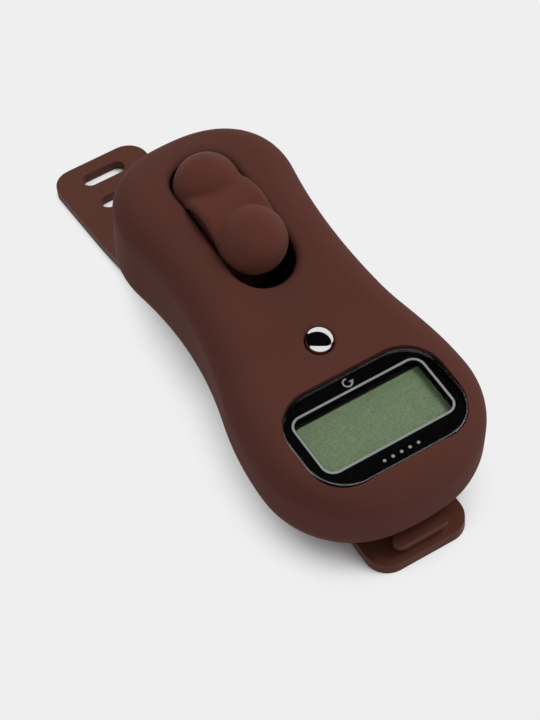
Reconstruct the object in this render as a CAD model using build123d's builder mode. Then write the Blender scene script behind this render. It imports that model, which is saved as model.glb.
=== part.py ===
from build123d import *
from math import acos, asin, cos, degrees, radians, sin, sqrt
import os

# Digital tasbih counter: a peanut-shaped hand counter with a thumb-rolled bead wheel, a reset
# button, a display behind a black-rimmed lens, and a silicone strap that runs under its belly.
# Lengths are in millimetres and angles in degrees. The counter lies on its strap, whose far end
# droops to the table, so the housing leans back. Housing parts are drawn on a leaning datum:
# x across, u along towards the bead wheel from the housing's middle, w up from the flat belly.

# Housing form
body_length = 80.0
body_half_width = 19.75
tip_radius = 27.0
lobe_radius = 14.7
lobe_offset = 1.25
waist_radius = 63.4
flank_radius = 53.5
corner_offset = 2.95
near_radius = 39.0
deck_height = 17.2
crest_height = 22.6
crest_setback = 13.6
crown_radius = 128.0
far_radius = 20.0
deck_blend = 40.0
top_round = 6.0
bottom_round = 7.2
round_limit_share = 0.45
bottom_limit_share = 0.54
wall = 1.6
part_height = 3.2
rest_tilt = 7.2

# Clearances and cut overrun
overrun = 2.0
fit_gap = 0.02
seat_gap = 0.1
running_gap = 0.05
side_play = 0.3

# Strap
strap_span = 109.0
strap_width = 18.4
strap_thick = 1.9
strap_corner = 4.0
strap_gap = 0.9
strap_reach = 41.7
strap_straight = 56.0
strap_bend = 35.0
slot_count = 4
slot_length = 8.6
slot_width = 3.1
slot_pitch = 6.8
slot_margin = 4.4
stud_setback = 2.4
stud_length = 10.2
stud_width = 2.4
stud_head = 1.3
neck_length = 6.4
neck_width = 1.6
neck_height = 1.6

# Strap keepers
keeper_near_offset = 26.5
keeper_spacing = 15.0
keeper_length = 5.0
keeper_leg = 1.5
keeper_bar = 1.5
keeper_gap = 0.3
keeper_round = 1.4

# Bead wheel
bead_count = 3
bead_proud = 0.25
bead_circle = 8.3
drum_radius = 8.1
bead_root = 0.9
tyre_width = 10.6
wheel_phase = 4.5
axle_offset = 7.8
axle_height = 17.8
hub_radius = 6.2
hub_boss_radius = 2.4
hub_boss_length = 0.5
axle_radius = 1.0
axle_head_radius = 1.6
axle_head_thick = 0.6
axle_tail = 0.3
post_thick = 1.4
post_crown = 2.4
post_foot = 9.0
rim_gap = 0.35
rim_round = 1.4
rim_near_gap = 1.5
rim_far_gap = 1.0

# Count cam and contacts
cam_width = 1.6
cam_lobe = 0.9
cam_circle = 1.5
leaf_thick = 0.25
leaf_clear = 0.1
leaf_width = 1.6
leaf_foot = 2.0
leaf_run = 10.0
leaf_tip = 2.5
leaf_bend = 0.8
leaf_travel = 0.55
contact_lap = 3.0

# Display
display_setback = 14.7
lens_width = 29.0
lens_height = 18.8
lens_corner = 7.0
lens_thick = 1.5
lens_recess = 0.3
lens_edge = 0.45
mask_thick = 0.12
window_width = 23.2
window_height = 10.1
window_corner = 1.5
seat_ledge = 1.6
seat_thick = 0.95
seat_rim = 1.3
lcd_width = 24.4
lcd_height = 11.2
lcd_ledge = 2.6
glass_thick = 0.9
lcd_frame_wall = 0.8
lcd_frame_corner = 1.6
lcd_lip = 0.4
lcd_lip_reach = 0.5
zebra_height = 1.0
zebra_depth = 1.8

# Circuit board
board_thick = 1.2
board_gap = 0.6
board_front_setback = 24.4
neck_front_setback = 35.0
neck_half_width = 10.0
arm_gap = 0.3
arm_width = 3.9
arm_root = 4.0
arm_over = 9.0
board_screw_x = 7.4
board_screw_setback = 30.6
board_boss_radius = 1.8
board_screw_radius = 0.75
board_screw_head = 1.5
board_screw_head_height = 1.0
board_screw_length = 4.0
rest_pin_radius = 1.3
rest_pin_x = 9.8
rest_pin_setback = 9.0
blob_radius = 3.0
blob_height = 1.4
blob_inset = 5.55
blob_setback = 21.1

# Reset button and its switch
button_setback = 30.9
button_radius = 2.25
button_gap = 0.15
button_rise = 0.95
button_land = 0.35
button_rim_round = 0.35
flange_radius = 3.1
flange_thick = 0.6
flange_gap = 0.25
stem_radius = 1.4
switch_size = 6.0
switch_height = 1.5
plunger_radius = 1.7
plunger_gap = 0.25
plunger_proud = 0.7
plunger_depth = 0.5
plunger_floor = 0.5

# Button cell, its contacts and its door
cell_radius = 5.8
cell_height = 5.4
cell_cap_radius = 4.2
cell_cap_height = 0.4
cell_setback = 15.5
cell_gap = 0.3
well_wall = 1.2
well_drop = 0.6
contact_thick = 0.3
contact_width = 4.0
contact_foot = 2.4
contact_bend = 0.7
contact_air = 0.1
door_rim = 2.4
door_thick = 1.2
door_ear_radius = 2.2
door_gap = 0.15
door_screw_inset = 0.4
door_screw_radius = 0.9
door_screw_head = 1.7
door_screw_head_height = 0.6
door_screw_length = 3.2
door_boss_radius = 2.2
door_floor = 0.8

# Case screws
case_screw_x = 13.6
case_screw_setback = 27.5
far_screw_x = 8.8
far_screw_offset = 7.1
case_boss_radius = 2.2
case_screw_radius = 1.0
case_screw_head = 1.8
case_screw_head_height = 1.2
case_hole_gap = 0.15
case_screw_floor = 0.9
case_screw_length = 7.0
lip_height = 2.0
lip_root = 1.0
lip_thick = 1.0
lip_gap = 0.15

# The leaning datum, and where the housing's main points lie on it
half_span = strap_span / 2
strap_drop = strap_gap + strap_thick
lean = radians(rest_tilt)
body_y = strap_reach * cos(lean) - strap_drop * sin(lean) - half_span
body_rise = strap_reach * sin(lean) + strap_drop * cos(lean)
body = Plane(origin=(0, body_y, body_rise), x_dir=(1, 0, 0), z_dir=(0, -sin(lean), cos(lean)))
side = Plane(origin=body.origin, x_dir=body.y_dir, z_dir=body.x_dir)
up = Axis(body.origin, body.z_dir)

far_u = body_length / 2
near_u = -far_u
tip = Vector(0, far_u - tip_radius)
lobe = Vector(lobe_offset, tip.Y + sqrt((tip_radius - lobe_radius) ** 2 - lobe_offset**2))
near = Vector(0, near_u + near_radius)
corner_radius = body_half_width - corner_offset
corner = Vector(corner_offset, near.Y - sqrt((near_radius - corner_radius) ** 2 - corner_offset**2))
flank = Vector(body_half_width - flank_radius, corner.Y)
crest_u = far_u - crest_setback
rise_radius = crown_radius + deck_blend
rise_reach = sqrt(rise_radius**2 - (rise_radius - crest_height + deck_height) ** 2)
rise_u = crest_u - rise_reach
crown_u = crest_u - rise_reach * crown_radius / rise_radius
housing_top_round = min(top_round, round_limit_share * deck_height)
housing_bottom_round = min(bottom_round, bottom_limit_share * deck_height)

axle_u = lobe.Y - axle_offset
display_u = near_u + display_setback
button_u = near_u + button_setback
cell_u = near_u + cell_setback
post_in = tyre_width / 2 + hub_boss_length + side_play
post_out = post_in + post_thick
bead_radius = tyre_width / 2 + bead_proud
wheel_radius = bead_circle + bead_radius


def height(shape):
    """How far a shape's middle lies above the belly."""
    return body.to_local_coords(shape.center()).Z


def back(u):
    """Height of the housing's back above the belly: flat deck, hollow rise, crown and far slope."""
    if u < rise_u:
        return deck_height
    if u < crown_u:
        return deck_height + deck_blend - sqrt(deck_blend**2 - (u - rise_u) ** 2)
    radius = crown_radius if u < crest_u else far_radius
    return crest_height - radius + sqrt(radius**2 - (u - crest_u) ** 2)


def back_slope(u):
    """How steeply the back climbs, between the deck and the crest."""
    if u < rise_u:
        return 0
    if u < crown_u:
        return degrees(asin((u - rise_u) / deck_blend))
    return degrees(asin((crest_u - u) / crown_radius))


def waist_centre():
    """Centre of the hollow waist's circle, which touches the lobe's and the flank's circles."""
    to_flank = flank_radius + waist_radius
    to_lobe = lobe_radius + waist_radius
    reach = lobe - flank
    along = (to_flank**2 - to_lobe**2 + reach.length**2) / (2 * reach.length)
    step = reach.normalized()
    return flank + step * along + Vector(step.Y, -step.X) * sqrt(to_flank**2 - along**2)


def toward(centre, target, radius):
    """The point on a circle that faces a target."""
    return centre + (target - centre).normalized() * radius


def outline(inset):
    """Peanut outline of the housing, drawn in by an inset."""
    waist = waist_centre()
    tip_join = toward(tip, lobe, tip_radius)
    lobe_join = toward(lobe, waist, lobe_radius)
    flank_join = toward(flank, waist, flank_radius)
    widest = Vector(body_half_width, corner.Y)
    near_join = toward(near, corner, near_radius)
    lobe_mid = toward(lobe, (tip_join + lobe_join) / 2, lobe_radius)
    waist_mid = toward(waist, (lobe_join + flank_join) / 2, waist_radius)
    flank_mid = toward(flank, (flank_join + widest) / 2, flank_radius)
    corner_mid = toward(corner, (widest + near_join) / 2, corner_radius)
    with BuildSketch() as flat:
        with BuildLine():
            ThreePointArc(tip_join, lobe_mid, lobe_join)
            ThreePointArc(lobe_join, waist_mid, flank_join)
            ThreePointArc(flank_join, flank_mid, widest)
            ThreePointArc(widest, corner_mid, near_join)
            mirror(about=Plane.YZ)
            ThreePointArc(tip_join, (0, far_u), (-tip_join.X, tip_join.Y))
            ThreePointArc(near_join, (0, near_u), (-near_join.X, near_join.Y))
        make_face()
        if inset:
            offset(amount=-inset)
    return flat.sketch


def side_profile(inset):
    """Side view of the housing: flat belly, flat display deck, long crown and rounded far end."""
    end_u = far_u + overrun
    with BuildSketch() as flat:
        with BuildLine():
            Polyline((rise_u, deck_height), (-end_u, deck_height), (-end_u, 0))
            Polyline((-end_u, 0), (end_u, 0), (end_u, back(end_u)))
            for start_u, stop_u in ((rise_u, crown_u), (crown_u, crest_u), (crest_u, end_u)):
                mid_u = (start_u + stop_u) / 2
                ThreePointArc((start_u, back(start_u)), (mid_u, back(mid_u)), (stop_u, back(stop_u)))
        make_face()
        if inset:
            offset(amount=-inset)
    return flat.sketch


def pebble(inset):
    """The housing's full rounded form, drawn in by an inset."""
    with BuildPart() as form:
        with BuildSketch(body):
            add(outline(inset))
        extrude(amount=crest_height + overrun)
        with BuildSketch(side):
            add(side_profile(inset))
        extrude(amount=body_half_width + overrun, both=True, mode=Mode.INTERSECT)
        edges = form.edges().filter_by(up, reverse=True).filter_by(Axis.X, reverse=True)
        fillet(edges.filter_by(lambda edge: height(edge) > deck_height / 2), housing_top_round - inset)
        fillet(form.faces().sort_by(up)[0].edges(), housing_bottom_round - inset)
    return form.part


outer = pebble(0)
inner = pebble(wall)
middle = pebble(wall / 2)

# Levels above the belly, from the lens down to the board and up from the door to the cell
lens_top = deck_height - lens_recess
lens_bottom = lens_top - lens_thick
seat_top = lens_bottom - mask_thick - fit_gap
seat_bottom = seat_top - seat_thick
lcd_frame_top = seat_bottom - seat_gap
lcd_top = lcd_frame_top - lcd_lip
lcd_bottom = lcd_top - 2 * glass_thick
board_top = lcd_bottom - zebra_height
board_bottom = board_top - board_thick
cell_bottom = door_thick + seat_gap
cell_top = cell_bottom + cell_height

# Screw places
case_screw_places = [
    (case_screw_x, near_u + case_screw_setback),
    (-case_screw_x, near_u + case_screw_setback),
    (far_screw_x, lobe.Y + far_screw_offset),
    (-far_screw_x, lobe.Y + far_screw_offset),
]
board_screw_places = [(side_sign * board_screw_x, near_u + board_screw_setback) for side_sign in (1, -1)]
rest_pin_places = [(side_sign * rest_pin_x, near_u + rest_pin_setback) for side_sign in (1, -1)]
door_screw_x = cell_radius + door_rim + door_ear_radius - door_screw_inset


def lens_shape(grow):
    """The lens's rounded outline, grown on every side."""
    with BuildSketch() as flat:
        with Locations((0, display_u)):
            RectangleRounded(lens_width + 2 * grow, lens_height + 2 * grow, lens_corner + grow)
    return flat.sketch


def column(places, radius, foot):
    """Round columns that hang from the shell's roof down to a foot."""
    with BuildPart() as columns:
        with BuildSketch(body.offset(foot)):
            with Locations(*places):
                Circle(radius)
        extrude(amount=crest_height)
        add(middle, mode=Mode.INTERSECT)
    return columns.part


# The button's axis stands square to the housing's back
button_slope = back_slope(button_u)
button_top = side.from_local_coords(Vector(button_u, back(button_u), 0))
button_lean = radians(rest_tilt + button_slope)
button_plane = Plane(origin=button_top, x_dir=(1, 0, 0), z_dir=(0, -sin(button_lean), cos(button_lean)))
plunger_top = board_top + switch_height + plunger_proud
stem_run = (back(button_u) - stem_radius - plunger_top - fit_gap) / cos(radians(button_slope))
switch_u = button_u + stem_run * sin(radians(button_slope))

# Wheel slot, long enough for the wheel where it comes through the back
wheel_chord = sqrt(wheel_radius**2 - (back(axle_u) - axle_height) ** 2)
rim_near = axle_u - wheel_chord - rim_near_gap
rim_far = axle_u + wheel_chord + rim_far_gap
rim_width = tyre_width + 2 * rim_gap

# Top shell
with BuildPart() as top_shell:
    add(outer)
    with BuildSketch(body.offset(part_height)):
        with Locations((0, (rim_near + rim_far) / 2)):
            SlotOverall(rim_far - rim_near, rim_width, rotation=90)
    extrude(amount=crest_height, mode=Mode.SUBTRACT)
    rim = top_shell.edges(Select.LAST).filter_by(up, reverse=True)
    fillet(rim.filter_by(lambda edge: height(edge) > deck_height), rim_round)
    with BuildSketch(button_plane):
        Circle(button_radius + button_gap)
    extrude(amount=wall + overrun, both=True, mode=Mode.SUBTRACT)
    mouth = top_shell.edges(Select.LAST).filter_by(lambda edge: height(edge) > back(button_u) - wall)
    fillet(mouth.filter_by(GeomType.LINE, reverse=True), button_rim_round)
    add(inner, mode=Mode.SUBTRACT)
    with BuildSketch(body.offset(seat_bottom)):
        add(lens_shape(seat_rim))
    seat_block = extrude(amount=deck_height - wall / 2 - seat_bottom, mode=Mode.PRIVATE)
    add(seat_block & middle)
    with BuildSketch(body.offset(seat_top)):
        add(lens_shape(seat_gap))
    extrude(amount=deck_height, mode=Mode.SUBTRACT)
    with BuildSketch(body.offset(seat_bottom)):
        add(lens_shape(-seat_ledge))
    extrude(amount=deck_height, both=True, mode=Mode.SUBTRACT)
    add(column(case_screw_places, case_boss_radius, part_height))
    add(column(board_screw_places, board_boss_radius, board_top))
    split(bisect_by=body.offset(part_height), keep=Keep.TOP)
    with BuildSketch(body.offset(part_height)):
        with Locations(*case_screw_places):
            Circle(case_screw_radius + fit_gap)
    extrude(amount=case_screw_length, mode=Mode.SUBTRACT)
    with BuildSketch(body.offset(board_top)):
        with Locations(*board_screw_places):
            Circle(board_screw_radius + fit_gap)
    extrude(amount=board_screw_length, mode=Mode.SUBTRACT)
top_shell.part.label = "top_shell"

# Bottom cover
inner_round = housing_bottom_round - wall
lip_inset = wall + inner_round - sqrt(inner_round**2 - (housing_bottom_round - part_height) ** 2) + lip_gap
keeper_out = strap_width / 2 + keeper_gap + keeper_leg
keeper_low = -strap_drop - keeper_gap - keeper_bar
keeper_near = near_u + keeper_near_offset
well_radius = cell_radius + cell_gap
well_top = cell_top - well_drop
door_radius = cell_radius + door_rim


def door_shape(grow):
    """The cell door's outline: a disc with an ear for its screw, grown on every side."""
    with BuildSketch() as flat:
        with Locations((0, cell_u)):
            Circle(door_radius + grow)
        with Locations((door_screw_x, cell_u)):
            Circle(door_ear_radius + grow)
        make_hull()
    return flat.sketch


with BuildPart() as cover_fittings:
    with BuildSketch(body.offset(part_height - lip_root)):
        add(outline(lip_inset))
        add(outline(lip_inset + lip_thick), mode=Mode.SUBTRACT)
        with Locations(*case_screw_places):
            Circle(case_boss_radius + side_play, mode=Mode.SUBTRACT)
    extrude(amount=lip_root + lip_height)
    with BuildSketch(body):
        with Locations(*case_screw_places):
            Circle(case_boss_radius)
    extrude(amount=part_height)
    with BuildSketch(body):
        with Locations(*rest_pin_places):
            Circle(rest_pin_radius)
    extrude(amount=board_bottom - fit_gap)
    with BuildSketch(body):
        add(door_shape(wall))
    extrude(amount=door_thick + door_floor)
    with BuildSketch(body):
        with Locations((0, cell_u)):
            Circle(well_radius + well_wall)
        with Locations((door_screw_x, cell_u)):
            Circle(door_boss_radius)
    extrude(amount=well_top)
    for post_foot_x in (post_in, -post_out):
        with BuildSketch(side.offset(post_foot_x)):
            with Locations((axle_u, axle_height)):
                Circle(post_crown)
            with Locations((axle_u, wall)):
                Rectangle(post_foot, wall)
            make_hull()
            with Locations((axle_u, axle_height)):
                Circle(axle_radius + running_gap, mode=Mode.SUBTRACT)
        extrude(amount=post_thick)
    add(middle, mode=Mode.INTERSECT)

with BuildPart() as bottom_cover:
    add(outer)
    split(bisect_by=body.offset(part_height), keep=Keep.BOTTOM)
    for keeper_u in (keeper_near, keeper_near + keeper_spacing):
        keeper_mid = body.from_local_coords(Vector(0, keeper_u, 0))
        with BuildSketch(Plane(keeper_mid, x_dir=body.x_dir, z_dir=-body.y_dir)) as loop:
            with Locations((0, keeper_low)):
                Rectangle(2 * keeper_out, part_height - keeper_low, align=(Align.CENTER, Align.MIN))
            fillet(loop.vertices().group_by(up)[0], keeper_round)
            with Locations((0, keeper_low + keeper_bar)):
                Rectangle(
                    2 * (keeper_out - keeper_leg),
                    part_height - keeper_low,
                    align=(Align.CENTER, Align.MIN),
                    mode=Mode.SUBTRACT,
                )
        extrude(amount=keeper_length / 2, both=True)
    add(inner, mode=Mode.SUBTRACT)
    add(cover_fittings.part)
    with BuildSketch(body):
        add(door_shape(door_gap))
    extrude(amount=door_thick, mode=Mode.SUBTRACT)
    with BuildSketch(body):
        with Locations((0, cell_u)):
            Circle(well_radius)
    extrude(amount=well_top, mode=Mode.SUBTRACT)
    with BuildSketch(body.offset(door_thick + door_floor)):
        with Locations((-well_radius, cell_u)):
            Rectangle(2 * well_wall + overrun, contact_width + 2 * side_play)
    extrude(amount=well_top, mode=Mode.SUBTRACT)
    with BuildSketch(body):
        with Locations((door_screw_x, cell_u)):
            Circle(door_screw_radius + fit_gap)
    extrude(amount=door_thick + door_screw_length, mode=Mode.SUBTRACT)
    with BuildSketch(body):
        with Locations(*case_screw_places):
            Circle(case_screw_radius + case_hole_gap)
    extrude(amount=part_height, mode=Mode.SUBTRACT)
    with BuildSketch(body):
        with Locations(*case_screw_places):
            Circle(case_screw_head + case_hole_gap)
    extrude(amount=part_height - case_screw_floor, mode=Mode.SUBTRACT)
bottom_cover.part.label = "bottom_cover"

# Case screws, from the cover into the shell's bosses
case_screws = []
for number, place in enumerate(case_screw_places, 1):
    with BuildPart() as case_screw:
        with BuildSketch(body.offset(part_height - case_screw_floor - fit_gap)):
            with Locations(place):
                Circle(case_screw_head)
        extrude(amount=-case_screw_head_height)
        with BuildSketch(body.offset(part_height - case_screw_floor - case_screw_head_height)):
            with Locations(place):
                Circle(case_screw_radius)
        extrude(amount=case_screw_head_height + case_screw_length)
    case_screw.part.label = f"case_screw_{number}"
    case_screws.append(case_screw.part)

# Cell door and its screw
with BuildPart() as battery_door:
    with BuildSketch(body):
        add(door_shape(0))
        with Locations((door_screw_x, cell_u)):
            Circle(door_screw_radius + door_gap, mode=Mode.SUBTRACT)
    extrude(amount=door_thick - fit_gap)
    with BuildSketch(body):
        with Locations((door_screw_x, cell_u)):
            Circle(door_screw_head + door_gap)
    extrude(amount=door_screw_head_height, mode=Mode.SUBTRACT)
battery_door.part.label = "battery_door"

with BuildPart() as battery_door_screw:
    with BuildSketch(body):
        with Locations((door_screw_x, cell_u)):
            Circle(door_screw_head)
    extrude(amount=door_screw_head_height - fit_gap)
    with BuildSketch(body):
        with Locations((door_screw_x, cell_u)):
            Circle(door_screw_radius)
    extrude(amount=door_screw_length)
battery_door_screw.part.label = "battery_door_screw"

# Button cell, cap upwards, and its two contacts on the board's underside
across = Plane(origin=body.from_local_coords(Vector(0, cell_u, 0)), x_dir=body.x_dir, z_dir=-body.y_dir)
with BuildPart() as button_cell:
    with BuildSketch(body.offset(cell_bottom)):
        with Locations((0, cell_u)):
            Circle(cell_radius)
    extrude(amount=cell_height - cell_cap_height)
    with BuildSketch(body.offset(cell_bottom)):
        with Locations((0, cell_u)):
            Circle(cell_cap_radius)
    extrude(amount=cell_height)
button_cell.part.label = "button_cell"

foot_level = board_bottom - contact_thick / 2 - fit_gap
plus_x = -cell_radius - contact_air - contact_thick / 2
with BuildPart() as cell_contact_plus:
    with BuildSketch(across):
        with BuildLine():
            FilletPolyline(
                (plus_x - contact_foot, foot_level),
                (plus_x, foot_level),
                (plus_x, door_thick + door_floor + seat_gap),
                radius=contact_bend,
            )
        trace(line_width=contact_thick)
    extrude(amount=contact_width / 2, both=True)
cell_contact_plus.part.label = "cell_contact_plus"

touch_level = cell_top + contact_air + contact_thick / 2
with BuildPart() as cell_contact_minus:
    with BuildSketch(across):
        with BuildLine():
            FilletPolyline(
                (cell_cap_radius + contact_foot, foot_level),
                (cell_cap_radius, foot_level),
                (0, touch_level),
                (-contact_foot, touch_level),
                radius=contact_bend,
            )
        trace(line_width=contact_thick)
    extrude(amount=contact_width / 2, both=True)
cell_contact_minus.part.label = "cell_contact_minus"

# Bead wheel: a silicone tyre with beads, on a hub, on a headed pin, with the count cam outside its post
axle_place = (axle_u, axle_height)
bead_angles = [radians(wheel_phase + 360 * (number + 0.5) / bead_count) for number in range(bead_count)]
bead_places = [
    side.from_local_coords(Vector(axle_u + bead_circle * sin(turn), axle_height + bead_circle * cos(turn), 0))
    for turn in bead_angles
]
with BuildPart() as bead_tyre:
    with BuildSketch(side):
        with Locations(axle_place):
            Circle(drum_radius)
    extrude(amount=tyre_width / 2, both=True)
    with Locations(*bead_places):
        Sphere(bead_radius)
    with BuildSketch(side):
        with Locations(axle_place):
            Circle(wheel_radius + overrun)
    extrude(amount=tyre_width / 2, both=True, mode=Mode.INTERSECT)
    drum = bead_tyre.faces().filter_by(GeomType.CYLINDER)
    beads = bead_tyre.faces().filter_by(GeomType.SPHERE)
    roots = [edge for edge in drum.edges() if any(edge.is_same(rim_edge) for rim_edge in beads.edges())]
    fillet(roots, bead_root)
    with BuildSketch(side):
        with Locations(axle_place):
            Circle(hub_radius + fit_gap)
    extrude(amount=tyre_width, both=True, mode=Mode.SUBTRACT)
bead_tyre.part.label = "bead_tyre"

with BuildPart() as wheel_hub:
    with BuildSketch(side):
        with Locations(axle_place):
            Circle(hub_radius)
    extrude(amount=tyre_width / 2, both=True)
    with BuildSketch(side):
        with Locations(axle_place):
            Circle(hub_boss_radius)
    extrude(amount=tyre_width / 2 + hub_boss_length, both=True)
    with BuildSketch(side):
        with Locations(axle_place):
            Circle(axle_radius + fit_gap)
    extrude(amount=tyre_width, both=True, mode=Mode.SUBTRACT)
wheel_hub.part.label = "wheel_hub"

cam_in = post_out + side_play
cam_out = cam_in + cam_width
head_in = post_out + side_play
with BuildPart() as wheel_axle:
    with BuildSketch(side.offset(-head_in)):
        with Locations(axle_place):
            Circle(axle_radius)
    extrude(amount=head_in + cam_out + axle_tail)
    with BuildSketch(side.offset(-head_in)):
        with Locations(axle_place):
            Circle(axle_head_radius)
    extrude(amount=-axle_head_thick)
wheel_axle.part.label = "wheel_axle"

with BuildPart() as count_cam:
    with BuildSketch(side.offset(cam_in)):
        with Locations(axle_place):
            with PolarLocations(cam_circle, bead_count, start_angle=180 / bead_count - 90):
                Circle(cam_lobe)
        make_hull()
        with Locations(axle_place):
            Circle(axle_radius + fit_gap, mode=Mode.SUBTRACT)
    extrude(amount=cam_width)
count_cam.part.label = "count_cam"

# Spring leaf under the cam's flat, and the fixed contact that it meets
cam_flat = cam_circle * cos(radians(180 / bead_count)) + cam_lobe
leaf_plane = side.offset(cam_in + cam_width / 2)
leaf_low = board_top + leaf_thick / 2 + fit_gap
leaf_high = axle_height - cam_flat - leaf_clear - leaf_thick / 2
leaf_start = axle_u - leaf_run
leaf_end = axle_u + leaf_tip
with BuildPart() as count_leaf:
    with BuildSketch(leaf_plane):
        with BuildLine():
            FilletPolyline(
                (leaf_start - leaf_foot, leaf_low),
                (leaf_start, leaf_low),
                (leaf_start + leaf_high - leaf_low, leaf_high),
                (leaf_end, leaf_high),
                radius=leaf_bend,
            )
        trace(line_width=leaf_thick)
    extrude(amount=leaf_width / 2, both=True)
count_leaf.part.label = "count_leaf"

contact_high = leaf_high - leaf_thick - leaf_travel
contact_start = leaf_end + contact_high - leaf_low
with BuildPart() as count_contact:
    with BuildSketch(leaf_plane):
        with BuildLine():
            FilletPolyline(
                (leaf_end - contact_lap, contact_high),
                (leaf_end, contact_high),
                (contact_start, leaf_low),
                (contact_start + leaf_foot, leaf_low),
                radius=leaf_bend,
            )
        trace(line_width=leaf_thick)
    extrude(amount=leaf_width / 2, both=True)
count_contact.part.label = "count_contact"

# Circuit board, with a narrower neck under the button and an arm beside the wheel
board_front = near_u + board_front_setback
neck_front = near_u + neck_front_setback
arm_in = post_out + arm_gap
arm_end = axle_u + arm_over
with BuildPart() as main_board:
    with BuildSketch(body.offset(board_bottom)):
        add(outline(wall + board_gap))
        with Locations((0, board_front)):
            Rectangle(2 * body_half_width, body_length, align=(Align.CENTER, Align.MAX), mode=Mode.INTERSECT)
        with Locations((0, neck_front)):
            Rectangle(2 * neck_half_width, neck_front - display_u, align=(Align.CENTER, Align.MAX))
        with Locations((arm_in, arm_end)):
            Rectangle(arm_width, arm_end - neck_front + arm_root, align=(Align.MIN, Align.MAX))
        with Locations(*board_screw_places):
            Circle(board_screw_radius + fit_gap, mode=Mode.SUBTRACT)
    extrude(amount=board_thick - fit_gap)
main_board.part.label = "main_board"

blob_x = body_half_width - wall - board_gap - blob_inset
with BuildPart() as chip_blob:
    with BuildSketch(body.offset(board_bottom - fit_gap)):
        with Locations((-blob_x, near_u + blob_setback)):
            Circle(blob_radius)
    extrude(amount=-blob_height)
    fillet(chip_blob.faces().sort_by(up)[0].edges(), blob_height - seat_gap)
chip_blob.part.label = "chip_blob"

board_screws = []
for number, place in enumerate(board_screw_places, 1):
    with BuildPart() as board_screw:
        with BuildSketch(body.offset(board_bottom - fit_gap)):
            with Locations(place):
                Circle(board_screw_head)
        extrude(amount=-board_screw_head_height)
        with BuildSketch(body.offset(board_bottom - board_screw_head_height)):
            with Locations(place):
                Circle(board_screw_radius)
        extrude(amount=board_screw_head_height + board_screw_length)
    board_screw.part.label = f"board_screw_{number}"
    board_screws.append(board_screw.part)

# Display glass, its holder, and the strips that carry it on the board
glass_place = (0, display_u + lcd_ledge / 2)
with BuildPart() as lcd_cell:
    with BuildSketch(body.offset(lcd_bottom)):
        with Locations(glass_place):
            Rectangle(lcd_width, lcd_height + lcd_ledge)
    extrude(amount=glass_thick)
    with BuildSketch(body.offset(lcd_bottom)):
        with Locations((0, display_u)):
            Rectangle(lcd_width, lcd_height)
    extrude(amount=2 * glass_thick)
lcd_cell.part.label = "lcd_cell"

holder_width = lcd_width + 2 * seat_gap
holder_height = lcd_height + lcd_ledge + 2 * seat_gap
frame_width = holder_width + 2 * lcd_frame_wall
frame_height = holder_height + 2 * lcd_frame_wall
with BuildPart() as lcd_frame:
    with BuildSketch(body.offset(board_top + fit_gap)):
        with Locations(glass_place):
            RectangleRounded(frame_width, frame_height, lcd_frame_corner)
    extrude(amount=lcd_frame_top - board_top - fit_gap)
    with BuildSketch(body.offset(board_top)):
        with Locations(glass_place):
            Rectangle(holder_width, holder_height)
    extrude(amount=lcd_top + fit_gap - board_top, mode=Mode.SUBTRACT)
    with BuildSketch(body.offset(board_top)):
        with Locations((0, display_u)):
            Rectangle(lcd_width - 2 * lcd_lip_reach, lcd_height - 2 * lcd_lip_reach)
    extrude(amount=deck_height, mode=Mode.SUBTRACT)
lcd_frame.part.label = "lcd_frame"

strip_length = lcd_width - 2 * lcd_frame_wall
with BuildPart() as zebra_strip:
    with BuildSketch(body.offset(board_top)):
        with Locations((0, display_u + (lcd_height + lcd_ledge) / 2)):
            Rectangle(strip_length, zebra_depth)
    extrude(amount=zebra_height - fit_gap)
zebra_strip.part.label = "zebra_strip"

with BuildPart() as lcd_pad:
    with BuildSketch(body.offset(board_top)):
        with Locations((0, display_u - lcd_height / 2)):
            Rectangle(strip_length, zebra_depth, align=(Align.CENTER, Align.MIN))
    extrude(amount=zebra_height - fit_gap)
lcd_pad.part.label = "lcd_pad"

# Clear lens and the black film behind it
with BuildPart() as display_lens:
    with BuildSketch(body.offset(lens_bottom)):
        add(lens_shape(0))
    extrude(amount=lens_thick)
    fillet(display_lens.faces().sort_by(up)[-1].edges(), lens_edge)
display_lens.part.label = "display_lens"

with BuildPart() as lens_mask:
    with BuildSketch(body.offset(lens_bottom - fit_gap)):
        add(lens_shape(0))
        with Locations((0, display_u)):
            RectangleRounded(window_width, window_height, window_corner, mode=Mode.SUBTRACT)
    extrude(amount=-mask_thick)
lens_mask.part.label = "lens_mask"

# Reset button: domed cap, flange under the shell and a round-ended stem
button_section = Plane(origin=button_top, x_dir=(1, 0, 0), z_dir=-button_plane.y_dir)
flange_top = -wall - flange_gap
flange_bottom = flange_top - flange_thick
dome_rise = button_rise - button_land
dome_radius = (button_radius**2 + dome_rise**2) / (2 * dome_rise)
with BuildPart() as reset_button:
    with BuildSketch(button_section):
        with BuildLine():
            Polyline(
                (stem_radius, -stem_run),
                (stem_radius, flange_bottom),
                (flange_radius, flange_bottom),
                (flange_radius, flange_top),
                (button_radius, flange_top),
                (button_radius, button_land),
            )
            RadiusArc((button_radius, button_land), (0, button_rise), -dome_radius)
            RadiusArc((stem_radius, -stem_run), (0, -stem_run - stem_radius), stem_radius)
            Line((0, button_rise), (0, -stem_run - stem_radius))
        make_face()
    revolve(axis=Axis(button_top, button_plane.z_dir))
reset_button.part.label = "reset_button"

with BuildPart() as reset_switch:
    with BuildSketch(body.offset(board_top)):
        with Locations((0, switch_u)):
            Rectangle(switch_size, switch_size)
    extrude(amount=switch_height)
    with BuildSketch(body.offset(board_top + plunger_floor)):
        with Locations((0, switch_u)):
            Circle(plunger_radius + plunger_gap)
    extrude(amount=switch_height, mode=Mode.SUBTRACT)
reset_switch.part.label = "reset_switch"

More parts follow.
